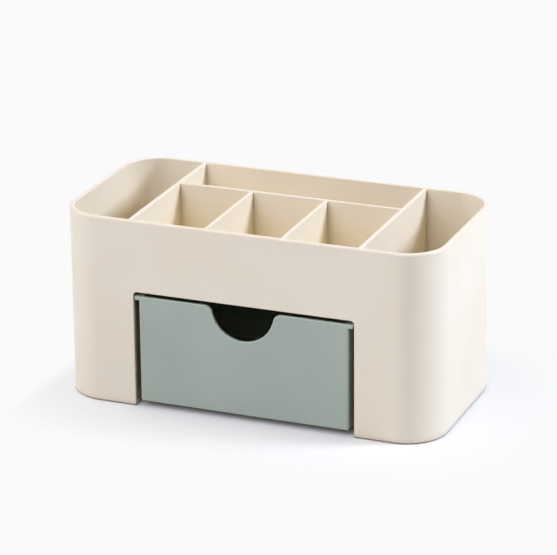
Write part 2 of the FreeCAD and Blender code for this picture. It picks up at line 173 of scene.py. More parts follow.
def whole_number(name, description, default, least):
    """A whole number from a least one up."""
    return IntProperty(name=name, description=description, default=default, min=least)


def display_colour(*values):
    """Display values from 0 to 255 as linear light, by the standard curve of a screen."""
    share = np.array(values) / 255
    return tuple(np.where(share <= 0.04045, share / 12.92, ((share + 0.055) / 1.055) ** 2.4).tolist())


def colour(name, description, *values):
    """A colour, given in display values from 0 to 255."""
    return FloatVectorProperty(name=name, description=description, default=display_colour(*values),
                               subtype="COLOR", size=3, min=0.0, max=1.0)


class HousingLooks(bpy.types.PropertyGroup):
    """Sizes of the housing's moulding and of the panels in it."""

    wall: length("Wall", "Thickness of the walls", 0.0026)
    floor: length("Floor", "Thickness of the end compartments' floors", 0.0022)
    floor_hollow: length("Floor hollow", "Hollow rounding where the walls meet the floors", 0.0016)
    corner: length("Corner radius", "Radius of the upright outer corners", 0.022)
    rim_outer: length("Rim outside", "Rounding of the rim's outer edge", 0.0012)
    rim_inner: length("Rim inside", "Rounding of the rim's inner edge", 0.0006)
    foot: length("Foot", "Rounding of the bottom edge", 0.0012)
    opening_width: length("Opening width", "Width of the drawer opening", 0.1234)
    opening_height: length("Opening height", "Top of the drawer opening above the table", 0.0645)
    opening_corner: length("Opening corners", "Rounding of the opening's upper corners", 0.002)
    jamb: length("Opening edge", "Rounding of the opening's front edge", 0.0005)
    panel_edge: length("Panel edge", "Rounding of the panels' top edges", 0.0006)


class DrawerLooks(bpy.types.PropertyGroup):
    """Sizes of the drawer tray."""

    side_gap: length("Side gap", "From the opening's edge to the tray's side", 0.003)
    lip_gap: length("Lip gap", "From the opening's edge to the lip", 0.0005)
    lip: length("Lip", "Thickness of the lip along the tray's sides", 0.002)
    lip_corner: length("Lip corners", "Rounding of the lip's upright corners", 0.001)
    wall: length("Wall", "Thickness of the tray's walls and floor", 0.002)
    corner: length("Corners", "Rounding of the tray's upright outer corners", 0.0012)
    base: length("Base", "Rounding of the tray's outer bottom edge", 0.0011)
    inner_corner: length("Inner corners", "Rounding of the tray's upright inner corners", 0.0016)
    floor_hollow: length("Floor hollow", "Hollow rounding of the tray's inner bottom edge", 0.0014)
    edge: length("Edge", "Rounding of the tray's top edges", 0.0005)
    notch: length("Notch radius", "Radius of the half-moon finger notch", 0.0175)
    notch_depth: length("Notch depth", "Finger notch below the top of the lip", 0.0175)
    shoulder: length("Notch shoulders", "Rounding where the notch meets the lip", 0.0045)
    nib_reach: length("Nib reach", "Stop nib out from the tray's side", 0.0024)
    nib_length: length("Nib length", "Stop nib on each side, front to back", 0.004)
    nib_height: length("Nib height", "Stop nib, up and down", 0.003)
    nib_setback: length("Nib setback", "Stop nib ahead of the tray's rear", 0.002)
    nib_drop: length("Nib drop", "Stop nib's top below the top of the lip", 0.0076)


class PlasticLooks(bpy.types.PropertyGroup):
    """Colours and finish of the two plastics, with their painted highlight on edges and painted shade in
    hollows, low inside and in narrow gaps.
    """

    cream: colour("Cream", "Housing and panels", 248, 239, 217)
    cream_deep: colour("Deep cream", "Broad drift in the cream", 245, 234, 208)
    # Painted highlight on the cream's proud edges, which are also worn smoother.
    cream_edge: colour("Cream edge", "Polished cream edges", 250, 233, 202)
    # Painted shade, warmer and darker, low in the compartments.
    cream_inside: colour("Cream inside", "Cream low in the compartments", 243, 227, 184)
    # Painted shade deep in narrow gaps and between parts.
    cream_crevice: colour("Cream crevice", "Cream deep in narrow gaps", 96, 80, 60)
    sage: colour("Sage", "Drawer", 178, 190, 175)
    sage_deep: colour("Deep sage", "Broad drift in the sage", 171, 184, 169)
    # Painted highlight on the sage's proud edges, which are also worn smoother.
    sage_edge: colour("Sage edge", "Polished sage edges", 199, 209, 195)
    # Painted shade low in the tray.
    sage_inside: colour("Sage inside", "Sage low in the tray", 175, 187, 170)
    # Painted shade deep in narrow gaps and between parts.
    sage_crevice: colour("Sage crevice", "Sage deep in narrow gaps", 74, 74, 66)
    # Reach of the open air that the painted shade low in the compartments feels for.
    inside: length("Inside", "Reach of the deeper tone low in the compartments", 0.1)
    # Reach of the open air that the painted shade in narrow gaps feels for.
    gap_shade: length("Crevice", "Reach of the darkening in narrow gaps", 0.008)
    roughness: amount("Roughness", "Roughness of the moulded faces", 0.4)
    edge_roughness: amount("Edge roughness", "Roughness of the polished edges", 0.3)
    grain: length("Grain", "Size of the moulded grain", 0.00045)
    grain_height: length("Grain height", "Depth of the moulded grain", 0.00001)
    ripple: length("Ripple", "Size of the slow ripple in the faces", 0.018)
    ripple_height: length("Ripple height", "Depth of the slow ripple", 0.00006)
    drift: length("Drift", "Size of the colour's drift", 0.05)


class StageLooks(bpy.types.PropertyGroup):
    """Floor, lights and camera."""

    backdrop: colour("Backdrop", "Background, and the floor further out", 250, 250, 250)
    floor: colour("Floor", "Floor beside the organiser", 250, 250, 246)
    floor_bounce: amount("Floor bounce", "Share of its light that the floor gives back", 0.76)
    floor_radius: length("Floor radius", "Reach of the floor", 4.0)
    shadow_reach: length("Shadow reach", "Where the floor has turned into the backdrop", 0.056)
    shadow_left: length("Shadow left", "The same past the left end, in the key's shadow", 0.02)
    shadow_core: amount("Shadow core", "Share of open air up to which the whole shadow shows", 0.46)
    sky: amount("Sky", "Light from all around", 0.12)
    key: amount("Key light", "Lamp on the right, as the brightness of a white face turned to it", 0.75)
    front_fill: amount("Front fill", "Lamp in front, in the same measure", 0.265)
    left_fill: amount("Left fill", "Wide lamp on the left, in the same measure", 0.78)
    back_fill: amount("Back fill", "Wide lamp behind, in the same measure", 0.12)
    lamp_distance: length("Lamp distance", "From the lamps to the organiser", 2.0)
    camera_turn: angle("Camera turn", "Camera towards the right of the front", 21.931)
    camera_rise: angle("Camera rise", "Camera above the table", 20.359)
    camera_roll: angle("Camera roll", "Tilt of the picture", -0.542)
    camera_distance: length("Camera distance", "From the camera to the place it looks at", 1.6503)
    aim_right: offset("Aim right", "Aim to the right of the organiser's middle", -0.00057)
    aim_up: offset("Aim up", "Aim above the organiser's middle", 0.009666)
    focal_widths: amount("Focal length", "Focal length in picture widths", FOCAL_PIXELS / PHOTO_WIDTH)


class OrganiserLooks(bpy.types.PropertyGroup):
    """All that can be changed on the organiser."""

    housing: PointerProperty(type=HousingLooks)
    drawer: PointerProperty(type=DrawerLooks)
    plastic: PointerProperty(type=PlasticLooks)
    stage: PointerProperty(type=StageLooks)
    arc_steps: whole_number("Small arc steps", "Facets across a small rounding", 6, 2)
    corner_steps: whole_number("Corner steps", "Facets round an upright corner", 28, 4)


# Surfaces: a profile carried along a path, flat faces, and how they are joined.

class Path(NamedTuple):
    """A line through space with two unit directions at each point: side, out of the sheet, and rise, out of
    its edge."""

    points: np.ndarray
    side: np.ndarray
    rise: np.ndarray
    closed: bool = False


class Profile(NamedTuple):
    """A section in side and rise, its unit normals, and how proud (1) or hollow (-1) each point is."""

    points: np.ndarray
    normals: np.ndarray
    proud: np.ndarray


class Patch(NamedTuple):
    """A piece of surface: points, unit normals, how proud each point is, and one row of corners a face."""

    points: np.ndarray
    normals: np.ndarray
    proud: np.ndarray
    faces: np.ndarray


def columns(*values):
    """Numbers and arrays side by side as rows of points."""
    return np.stack(np.broadcast_arrays(*values), axis=-1).astype(float)


def chain(*parts):
    """Profiles one after another."""
    return Profile(*(np.concatenate(arrays) for arrays in zip(*parts)))


def straight(start, end, normal):
    """A straight stretch of a profile."""
    return Profile(np.array([start, end], float), np.array([normal, normal], float), np.zeros(2))


def rounding(centre, radius, start, end, steps):
    """A proud rounding: centre + radius (cos a, sin a); it is proudest halfway."""
    turn = np.linspace(start, end, steps + 1)
    normals = columns(np.cos(turn), np.sin(turn))
    proud = np.sin(np.linspace(0, math.pi, steps + 1))
    return Profile(np.asarray(centre) + radius * normals, normals, proud)


def hollow(centre, radius, start, end, steps):
    """A hollow rounding: the same arc with its normals towards the centre."""
    outside = rounding(centre, radius, start, end, steps)
    return Profile(outside.points, -outside.normals, -outside.proud)


def sweep(path, profile):
    """Carries a profile along a path: point + a side + b rise for each profile point (a, b)."""
    a, b = profile.points.T[:, :, None, None]
    normal_a, normal_b = profile.normals.T[:, :, None, None]
    points = path.points + a * path.side + b * path.rise
    normals = normal_a * path.side + normal_b * path.rise
    count = len(path.points)
    strides = np.linalg.norm(np.diff(profile.points, axis=0), axis=1)
    row = np.flatnonzero(strides > WELD)[:, None] * count
    near = np.arange(count if path.closed else count - 1)
    far = (near + 1) % count
    faces = np.stack((row + near, row + far, row + count + far, row + count + near), axis=-1)
    proud = np.repeat(profile.proud, count)
    return Patch(points.reshape(-1, 3), normals.reshape(-1, 3), proud, faces.reshape(-1, 4))


def flat(points, normal):
    """One flat face inside a closed line of points."""
    points = np.asarray(points, float)
    count = len(points)
    return Patch(points, np.tile(normal, (count, 1)), np.zeros(count), np.arange(count)[None])


def strip(first, second, normals):
    """A band of faces between two lines with the same number of points and the same normals."""
    count = len(first)
    near = np.arange(count - 1)
    faces = np.stack((near, near + 1, near + count + 1, near + count), axis=-1)
    return Patch(np.concatenate((first, second)), np.tile(normals, (2, 1)), np.zeros(2 * count), faces)


def turned_out(patch):
    """The patch's faces, each turned so that it faces along its corners' normals."""
    corners = patch.points[patch.faces]
    facing = np.cross(corners, np.roll(corners, -1, axis=1)).sum(axis=1)
    backwards = (facing * patch.normals[patch.faces].sum(axis=1)).sum(axis=1) < 0
    return np.where(backwards[:, None], patch.faces[:, ::-1], patch.faces)


def make_piece(name, patches, body, slot, *nodes):
    """Joins patches into one mesh that rides on a body and stands for nodes: corners that lie on each other
    become one vertex, and each face keeps the normals of its own patch."""
    points = np.concatenate([patch.points for patch in patches])
    starts = np.cumsum([0] + [len(patch.points) for patch in patches[:-1]])
    _, first, merged = np.unique(np.round(points / WELD), axis=0, return_index=True, return_inverse=True)
    merged = merged.reshape(-1)
    turned = [turned_out(patch) for patch in patches]
    faces = [row for start, rows in zip(starts, turned) for row in merged[rows + start].tolist()]
    normals = [patch.normals[rows].reshape(-1, 3) for patch, rows in zip(patches, turned)]
    proud = [patch.proud[rows].reshape(-1) for patch, rows in zip(patches, turned)]
    mesh = bpy.data.meshes.new(name)
    mesh.from_pydata(points[first], [], faces)
    mesh.polygons.foreach_set("use_smooth", np.ones(len(faces), dtype=bool))
    mesh.normals_split_custom_set(np.concatenate(normals).tolist())
    mesh.attributes.new("proud", "FLOAT", "CORNER").data.foreach_set("value", np.concatenate(proud))
    if mesh.validate():
        raise RuntimeError(f"{name} has faces that are not sound")
    mesh.materials.append(bpy.data.materials[slot])
    piece = bpy.data.objects.new(name, mesh)
    bpy.context.scene.collection.objects.link(piece)
    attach(piece, body)
    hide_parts(*nodes)


# Plan outlines: points in X and Y with their outward normals.

def rounded_outline(low, high, radius, steps):
    """A rounded rectangle, right round from the front right corner: centre + radius (cos a, sin a) at each
    corner."""
    (x_low, y_low), (x_high, y_high) = low, high
    turn = np.linspace(0, QUARTER, steps + 1) + QUARTER * np.arange(-1, 3)[:, None]
    normals = columns(np.cos(turn), np.sin(turn))
    centres = np.array([(x_high - radius, y_low + radius), (x_high - radius, y_high - radius),
                        (x_low + radius, y_high - radius), (x_low + radius, y_low + radius)])
    return (centres[:, None] + radius * normals).reshape(-1, 2), normals.reshape(-1, 2)


def right_and_left(outline):
    """The right and the left half of a rounded rectangle."""
    points, normals = outline
    half = len(points) // 2
    return (points[:half], normals[:half]), (points[half:], normals[half:])


def lengthened(outline, first, last):
    """An open outline with one more point before it and one after it, in line with its ends."""
    points, normals = outline
    return np.vstack((first, points, last)), np.vstack((normals[:1], normals, normals[-1:]))


def mirrored(outline):
    """The left-hand twin of a right-hand outline, in the order that goes on from it."""
    points, normals = outline
    return points[::-1] * (-1, 1), normals[::-1] * (-1, 1)


def level_path(outline, height, closed=False):
    """A path at one height along a plan outline, with its side out and its rise up."""
    points, normals = outline
    return Path(columns(points[:, 0], points[:, 1], height), columns(normals[:, 0], normals[:, 1], 0.0),
                np.tile(UP, (len(points), 1)), closed)


# Housing.

def edge_band(wall, outer, inner, steps):
    """Section across the free edge of a wall, with the edge at zero: outer rounding, flat, inner rounding."""
    return chain(rounding((-outer, -outer), outer, 0, QUARTER, steps),
                 straight((-outer, 0), (inner - wall, 0), SECTION_UP),
                 rounding((inner - wall, -inner), inner, QUARTER, math.pi, steps))


def opening_path(looks, jamb_heights, steps):
    """The opening's edge on the front face: up the right jamb, along the top and down the left jamb, with an
    arc, centre + radius (cos a, sin a), at each upper corner. Its side points out of the face, and its rise
    into the opening. Below its arc, each jamb has a point at each of the given heights."""
    front, reach, radius = HOUSING_LOW[1], looks.opening_width / 2, looks.opening_corner
    turn = np.linspace(0, QUARTER, steps + 1)
    jamb = np.ones(len(jamb_heights))
    edge_x = np.concatenate((reach * jamb, reach - radius + radius * np.cos(turn)))
    edge_z = np.concatenate((jamb_heights, looks.opening_height - radius + radius * np.sin(turn)))
    rise_x = np.concatenate((-jamb, -np.cos(turn)))
    rise_z = np.concatenate((0 * jamb, -np.sin(turn)))
    points = np.vstack((columns(edge_x, front, edge_z), columns(-edge_x, front, edge_z)[::-1]))
    rise = np.vstack((columns(rise_x, 0.0, rise_z), columns(-rise_x, 0.0, rise_z)[::-1]))
    return Path(points, np.tile(-BACK, (len(points), 1)), rise)


def opening_band(looks, inner_low, steps):
    """The opening's edge through the front wall: a rounding and a flat, with a row of points at each depth
    behind the face. It ends below on the foot's rounding: foot - sqrt(foot^2 - (foot - depth)^2) above the
    table. Returns the band, its points as rows of lines, and the depth of each row."""
    wall, foot, jamb = looks.wall, looks.foot, looks.jamb
    toe_depths = np.linspace(jamb, foot, steps + 1)
    toe = Profile(columns(-toe_depths, 0.0), np.tile(SECTION_UP, (steps + 1, 1)), np.zeros(steps + 1))
    section = chain(rounding((-jamb, -jamb), jamb, 0, QUARTER, steps), toe,
                    straight((-foot, 0), (-wall, 0), SECTION_UP))
    band = sweep(opening_path(looks, (foot, inner_low), steps), section)
    depths = -section.points[:, 0]
    rows = band.points.reshape(len(depths), -1, 3)
    toe_heights = foot - np.sqrt(foot ** 2 - np.maximum(foot - depths, 0) ** 2)
    rows[:, [0, -1], 2] = toe_heights[:, None]
    return band, rows, depths


def wall_face(line, place, reach, low, high, normal):
    """A flat upright face at one place in Y: a line round the opening, closed along the face's outline."""
    corners = [(-reach, place, low), (-reach, place, high), (reach, place, high), (reach, place, low)]
    return flat(np.vstack((line, corners)), normal)


def foot_patches(looks, outline, opening_rows, depths, steps):
    """The foot's rounding along the outline, the flat underside round the drawer bay, and the two small toes
    between the foot's rounding and the opening's edge."""
    front, back, wall, foot = HOUSING_LOW[1], HOUSING_HIGH[1], looks.wall, looks.foot
    reach = looks.opening_width / 2
    toe = reach + looks.jamb
    footing = lengthened(outline, (toe, front), (-toe, front))
    foot_edge = sweep(level_path(footing, 0.0), rounding((-foot, foot), foot, 0, -QUARTER, steps))
    foot_rows = foot_edge.points.reshape(steps + 1, -1, 3)
    bay = [(-reach, front + foot, 0), (-reach, front + wall, 0), (-reach, back - wall, 0),
           (reach, back - wall, 0), (reach, front + wall, 0), (reach, front + foot, 0)]
    underside = flat(np.vstack((foot_rows[-1], bay)), -UP)
    on_toe = (depths < foot + WELD) & np.append(True, np.diff(depths) > WELD)
    slant = -(BACK + UP) * math.sqrt(0.5)
    toes = [flat(np.vstack((foot_rows[:, end], opening_rows[on_toe, end][:0:-1])), slant) for end in (0, -1)]
    return [foot_edge, underside, *toes]


def end_floors(looks, right_end, steps):
    """The floors of the end compartments: each has a hollow rounding along the walls, a flat top, and a flat
    side towards the drawer bay."""
    reach, wall, dip = looks.opening_width / 2, looks.wall, looks.floor_hollow
    right_plan = lengthened(right_end, (reach, HOUSING_LOW[1]), (reach, HOUSING_HIGH[1]))
    section = hollow((-wall - dip, looks.floor + dip), dip, 0, -QUARTER, steps)
    patches = []
    for plan, side in ((right_plan, 1), (mirrored(right_plan), -1)):
        hollow_edge = sweep(level_path(plan, 0.0), section)
        rows = hollow_edge.points.reshape(steps + 1, -1, 3)
        foot_line = [(side * reach, rows[0, -1, 1], 0), (side * reach, rows[0, 0, 1], 0)]
        bay_side = np.vstack((rows[:, 0], rows[::-1, -1], foot_line))
        patches += [hollow_edge, flat(rows[-1], UP), flat(bay_side, -side * RIGHT)]
    return patches


def housing_patches(looks, steps, corner_steps):
    """The housing: bands round the rim, the opening and the foot, walls between them, and two end floors."""
    (left, front, _), (right, back, height) = HOUSING_LOW, HOUSING_HIGH
    wall, reach, flat_reach = looks.wall, looks.opening_width / 2, right - looks.corner
    low, high = looks.foot, height - looks.rim_outer
    inner_low, inner_high = looks.floor + looks.floor_hollow, height - looks.rim_inner
    outline = rounded_outline((left, front), (right, back), looks.corner, corner_steps)
    ends = right_and_left(outline)

    rim = sweep(level_path(outline, height, True), edge_band(wall, looks.rim_outer, looks.rim_inner, steps))
    outside = sweep(level_path(outline, 0.0), straight((0, low), (0, high), SECTION_OUT))
    inner_wall = straight((-wall, inner_low), (-wall, inner_high), SECTION_IN)
    inside = [sweep(level_path(end, 0.0), inner_wall) for end in ends]
    opening, opening_rows, depths = opening_band(looks, inner_low, steps)
    front_face = wall_face(opening_rows[0], front, flat_reach, low, high, -BACK)
    behind_front = wall_face(opening_rows[-1, 1:-1], front + wall, flat_reach, inner_low, inner_high, BACK)
    bay_line = [(reach, back - wall, inner_low), (reach, back - wall, 0),
                (-reach, back - wall, 0), (-reach, back - wall, inner_low)]
    before_back = wall_face(bay_line, back - wall, flat_reach, inner_low, inner_high, -BACK)
    return [rim, outside, *inside, opening, front_face, behind_front, before_back,
            *foot_patches(looks, outline, opening_rows, depths, steps),
            *end_floors(looks, ends[0], steps)]


# Upright panels.

def panel_patches(low, high, axis, edge, steps):
    """An upright panel: a section with two rounded top edges carried along its length, and two ends."""
    along = "xy".index(axis)
    across = 1 - along
    half, tall = (high[across] - low[across]) / 2, high[2] - low[2]
    start, end = np.array(low, float), np.array(low, float)
    start[across] = end[across] = (high[across] + low[across]) / 2
    end[along] = high[along]
    side, ahead = np.eye(3)[across], np.eye(3)[along]
    right_edge = rounding((half - edge, tall - edge), edge, 0, QUARTER, steps)
    left_edge = rounding((edge - half, tall - edge), edge, QUARTER, math.pi, steps)
    section = chain(straight((-half, 0), (half, 0), SECTION_DOWN),
                    straight((half, 0), (half, tall - edge), SECTION_OUT), right_edge,
                    straight((half - edge, tall), (edge - half, tall), SECTION_UP), left_edge,
                    straight((-half, tall - edge), (-half, 0), SECTION_IN))
    skin = sweep(Path(np.stack((start, end)), np.tile(side, (2, 1)), np.tile(UP, (2, 1))), section)
    outline = np.vstack(([(-half, 0), (half, 0)], right_edge.points, left_edge.points))
    ends = [flat(point + outline[:, :1] * side + outline[:, 1:] * UP, normal)
            for point, normal in ((start, -ahead), (end, ahead))]
    return [skin, *ends]


# Drawer tray.

def notch_line(looks, top, steps):
    """The finger notch from left to right in X and Z: shoulder, half-moon and shoulder, with the normals that
    point out of the plastic."""
    centre = top - looks.notch_depth + looks.notch
    drop = centre - top + looks.shoulder
    apart = math.sqrt((looks.notch + looks.shoulder) ** 2 - drop ** 2)
    dip = math.atan2(drop, apart)
    left = rounding((-apart, top - looks.shoulder), looks.shoulder, QUARTER, dip, steps)
    moon = hollow((0, centre), looks.notch, math.pi + dip, 2 * math.pi - dip, MOON_FINENESS * steps)
    right = rounding((apart, top - looks.shoulder), looks.shoulder, math.pi - dip, QUARTER, steps)
    points = np.vstack((left.points, moon.points[1:-1], right.points))
    normals = np.vstack((left.normals, moon.normals[1:-1], right.normals))
    return points, normals


def rim_path(outline, notch, top, front, ways):
    """A closed path along the tray's top: round the outline from the notch's right shoulder to its left one,
    then through the notch. Its side points out of the tray where ways is 1, and into it where ways is -1."""
    (plan, plan_normals), (line, line_normals) = outline, notch
    round_about = level_path((plan, ways * plan_normals), top)
    points = np.vstack((round_about.points, columns(line[:, 0], front, line[:, 1])))
    side = np.vstack((round_about.side, np.tile(-ways * BACK, (len(line), 1))))
    rise = np.vstack((round_about.rise, columns(line_normals[:, 0], 0.0, line_normals[:, 1])))
    return Path(points, side, rise, True)


def tray_rim(looks, lip, inner, steps):
    """The tray's top: roundings along its outer and inner edges and through the notch, the flat between them,
    and the notch's own face. Returns these patches and the lines in which the notch meets both walls."""
    front, top, edge = TRAY_LOW[1], TRAY_HIGH[2], looks.edge
    notch = notch_line(looks, top, steps)
    outer_path = rim_path(lip, notch, top, front, 1.0)
    inner_path = rim_path(inner, notch, top, front + looks.wall, -1.0)
    section = rounding((-edge, -edge), edge, 0, QUARTER, steps)
    outer_edge, inner_edge = sweep(outer_path, section), sweep(inner_path, section)
    outer_rows = outer_edge.points.reshape(steps + 1, -1, 3)
    inner_rows = inner_edge.points.reshape(steps + 1, -1, 3)
    outer_notch, inner_notch = outer_rows[:, len(lip[0]):], inner_rows[:, len(inner[0]):]
    outer_round, inner_round = outer_rows[-1, :len(lip[0])], inner_rows[-1, :len(inner[0])]
    top_face = flat(np.vstack((outer_round, outer_notch[-1, 0], inner_notch[-1, 0], inner_round[::-1],
                               inner_notch[-1, -1], outer_notch[-1, -1])), UP)
    notch_face = strip(outer_notch[-1], inner_notch[-1], outer_path.rise[len(lip[0]):])
    return [outer_edge, inner_edge, top_face, notch_face], outer_notch[0], inner_notch[0]


def tray_outside(looks, body, lip, notch_edge, steps):
    """The tray from outside: flat front and rear, sides with their corners, the lip along them, and the base
    with its rounding."""
    front, rear, base, top = TRAY_LOW[1], TRAY_HIGH[1], TRAY_LOW[2], TRAY_HIGH[2]
    low, lip_low, high = base + looks.base, top - looks.lip, top - looks.edge
    flat_body, flat_lip = body[0][:, 0].max() - looks.corner, lip[0][:, 0].max() - looks.lip_corner
    below = np.array([(-flat_lip, lip_low), (-flat_body, lip_low), (-flat_body, low), (flat_body, low),
                      (flat_body, lip_low), (flat_lip, lip_low)])
    front_face = flat(np.vstack((columns(below[:, 0], front, below[:, 1]), (flat_lip, front, high),
                                 notch_edge[::-1], (-flat_lip, front, high))), -BACK)
    rear_face = flat(np.vstack((columns(below[:, 0], rear, below[:, 1]), (flat_lip, rear, high),
                                (-flat_lip, rear, high))), BACK)
    patches = [front_face, rear_face]
    for lip_end, body_end in zip(right_and_left(lip), right_and_left(body)):
        under = np.vstack((lip_end[0], body_end[0][::-1]))
        patches += [sweep(level_path(lip_end, 0.0), straight((0, lip_low), (0, high), SECTION_OUT)),
                    sweep(level_path(body_end, 0.0), straight((0, low), (0, lip_low), SECTION_OUT)),
                    flat(columns(under[:, 0], under[:, 1], lip_low), -UP)]
    base_edge = sweep(level_path(body, base, True),
                      rounding((-looks.base, looks.base), looks.base, 0, -QUARTER, steps))
    return [*patches, base_edge, flat(base_edge.points.reshape(steps + 1, -1, 3)[-1], -UP)]


def tray_inside(looks, inner, notch_edge, steps):
    """The tray from inside: flat front, the other walls in one, and the floor with its hollow edge."""
    front, floor, dip = TRAY_LOW[1] + looks.wall, TRAY_LOW[2] + looks.wall, looks.floor_hollow
    low, high = floor + dip, TRAY_HIGH[2] - looks.edge
    reach = inner[0][:, 0].max() - looks.inner_corner
    front_face = flat(np.vstack(((-reach, front, low), (reach, front, low), (reach, front, high),
                                 notch_edge[::-1], (-reach, front, high))), BACK)
    walls = sweep(level_path(inner, 0.0), straight((0, low), (0, high), SECTION_IN))
    floor_edge = sweep(level_path(inner, 0.0, True), hollow((-dip, low), dip, 0, -QUARTER, steps))
    return [front_face, walls, floor_edge, flat(floor_edge.points.reshape(steps + 1, -1, 3)[-1], UP)]


def stop_nibs(looks, reach, steps):
    """Two small blocks on the tray's sides, near its rear, that meet the runners' stops."""
    back, top = TRAY_HIGH[1] - looks.nib_setback, TRAY_HIGH[2] - looks.nib_drop
    patches = []
    for side in (-1, 1):
        left, right = sorted((side * (reach - looks.wall / 2), side * (reach + looks.nib_reach)))
        patches += panel_patches((left, back - looks.nib_length, top - looks.nib_height), (right, back, top),
                                 "y", looks.edge, steps)
    return patches


def tray_patches(looks, opening_width, steps):
    """The drawer tray: its top with the finger notch, its outside with the lip, its inside and its nibs."""
    front, rear, wall = TRAY_LOW[1], TRAY_HIGH[1], looks.wall
    reach, lip_reach = opening_width / 2 - looks.side_gap, opening_width / 2 - looks.lip_gap
    body = rounded_outline((-reach, front), (reach, rear), looks.corner, steps)
    lip = rounded_outline((-lip_reach, front), (lip_reach, rear), looks.lip_corner, steps)
    inner = rounded_outline((wall - reach, front + wall), (reach - wall, rear - wall),
                            looks.inner_corner, steps)
    rim, outer_notch, inner_notch = tray_rim(looks, lip, inner, steps)
    return [*rim, *tray_outside(looks, body, lip, outer_notch, steps),
            *tray_inside(looks, inner, inner_notch, steps), *stop_nibs(looks, reach, steps)]


# Plastics: shared node groups and one material for each finish.

def add_node(tree, kind, inputs=None, **settings):
    """A node with its settings; inputs are values, or sockets to link from."""
    made = tree.nodes.new(kind)
    for name, value in settings.items():
        setattr(made, name, value)
    for name, value in (inputs or {}).items():
        if isinstance(value, bpy.types.NodeSocket):
            tree.links.new(value, made.inputs[name])
        else:
            made.inputs[name].default_value = value
    return made


def add_group(tree, name, inputs):
    """The outputs of a shared node group, placed with its own inputs."""
    return add_node(tree, "ShaderNodeGroup", inputs, node_tree=bpy.data.node_groups[name]).outputs


def blend_numbers(tree, share, first, second):
    """A number between two others. A mix node repeats its sockets' names, so they go by their places."""
    return add_node(tree, "ShaderNodeMix", {0: share, 2: first, 3: second}).outputs[0]


def blend_colours(tree, share, first, second):
    """A colour between two others, by the same node's places for colours."""
    return add_node(tree, "ShaderNodeMix", {0: share, 6: first, 7: second}, data_type="RGBA").outputs[2]


def math_node(tree, operation, *values, **settings):
    """The result of a sum on one or more values."""
    inputs = dict(enumerate(values))
    return add_node(tree, "ShaderNodeMath", inputs, operation=operation, **settings).outputs[0]


def map_range(tree, value, start, end, **settings):
    """0 up to the start value, 1 from the end value on, and between them in between."""
    inputs = {"Value": value, "From Min": start, "From Max": end}
    return add_node(tree, "ShaderNodeMapRange", inputs, **settings).outputs[0]


def noise(tree, position, size, detail):
    """Soft noise whose lumps have about the given size."""
    inputs = {"Vector": position, "Scale": math_node(tree, "DIVIDE", 1.0, size), "Detail": detail}
    return add_node(tree, "ShaderNodeTexNoise", inputs).outputs[0]


def open_air(tree, reach, bounds, rays, alone=False):
    """0 where little open air is left within reach, 1 where there is plenty, between two shares of open air.
    With alone set, only the piece itself stands in the way."""
    air = add_node(tree, "ShaderNodeAmbientOcclusion", {"Distance": reach}, samples=rays, only_local=alone)
    return map_range(tree, air.outputs["AO"], *bounds)


def new_group(name, inputs, outputs):
    """An empty node group with named sockets, and its two end nodes' sockets."""
    group = bpy.data.node_groups.new(name, "ShaderNodeTree")
    for label, kind in inputs.items():
        group.interface.new_socket(label, in_out="INPUT", socket_type=kind)
    for label, kind in outputs.items():
        group.interface.new_socket(label, in_out="OUTPUT", socket_type=kind)
    return group, group.nodes.new("NodeGroupInput").outputs, group.nodes.new("NodeGroupOutput").inputs


def moulded_grain_group():
    """Fine grain and slow ripple of a moulded face, and the drift of its colour, each from 0 to 1."""
    details = {"Grain": 2.0, "Ripple": 1.0, "Drift": 3.0}
    sockets = dict.fromkeys(details, "NodeSocketFloat")
    group, given, result = new_group("Moulded grain", {"Position": "NodeSocketVector", **sockets}, sockets)
    for label, detail in details.items():
        group.links.new(noise(group, given["Position"], given[label], detail), result[label])


def edge_light_and_wear_group():
    """How much an edge is worn smooth and carries a painted highlight, broken up by noise, and how much
    painted shade a hollow gets.
    """
    group, given, result = new_group("Edge polish",
                                     {"Proud": "NodeSocketFloat", "Break up": "NodeSocketFloat"},
                                     {"Rubbed and highlit": "NodeSocketFloat", "Hollow": "NodeSocketFloat"})
    proud = math_node(group, "MAXIMUM", given["Proud"], 0.0)
    broken = math_node(group, "MULTIPLY_ADD", given["Break up"], HIGHLIT_WEAR_MORE, HIGHLIT_WEAR_LEAST)
    group.links.new(math_node(group, "MULTIPLY", proud, broken, use_clamp=True), result["Rubbed and highlit"])
    hollow_shade = math_node(group, "MULTIPLY", given["Proud"], -1.0)
    group.links.new(math_node(group, "MAXIMUM", hollow_shade, 0.0), result["Hollow"])


def new_material(name):
    """A material by name with an empty node tree, and that tree."""
    material = bpy.data.materials.get(name) or bpy.data.materials.new(name)
    material.use_nodes = True
    material.node_tree.nodes.clear()
    return material, material.node_tree


class Tones(NamedTuple):
    """A plastic's colours: plain, drifting deep, which also paints shade in hollows, painted highlight on
    worn edges, painted shade low inside, and painted shade in narrow gaps.
    """

    plain: tuple
    deep: tuple
    edge: tuple
    inside: tuple
    gap_shade: tuple


def tones(looks, name):
    """The colours of one plastic, opaque."""
    shades = (name, f"{name}_deep", f"{name}_edge", f"{name}_inside", f"{name}_crevice")
    return Tones(*((*getattr(looks, shade), 1.0) for shade in shades))


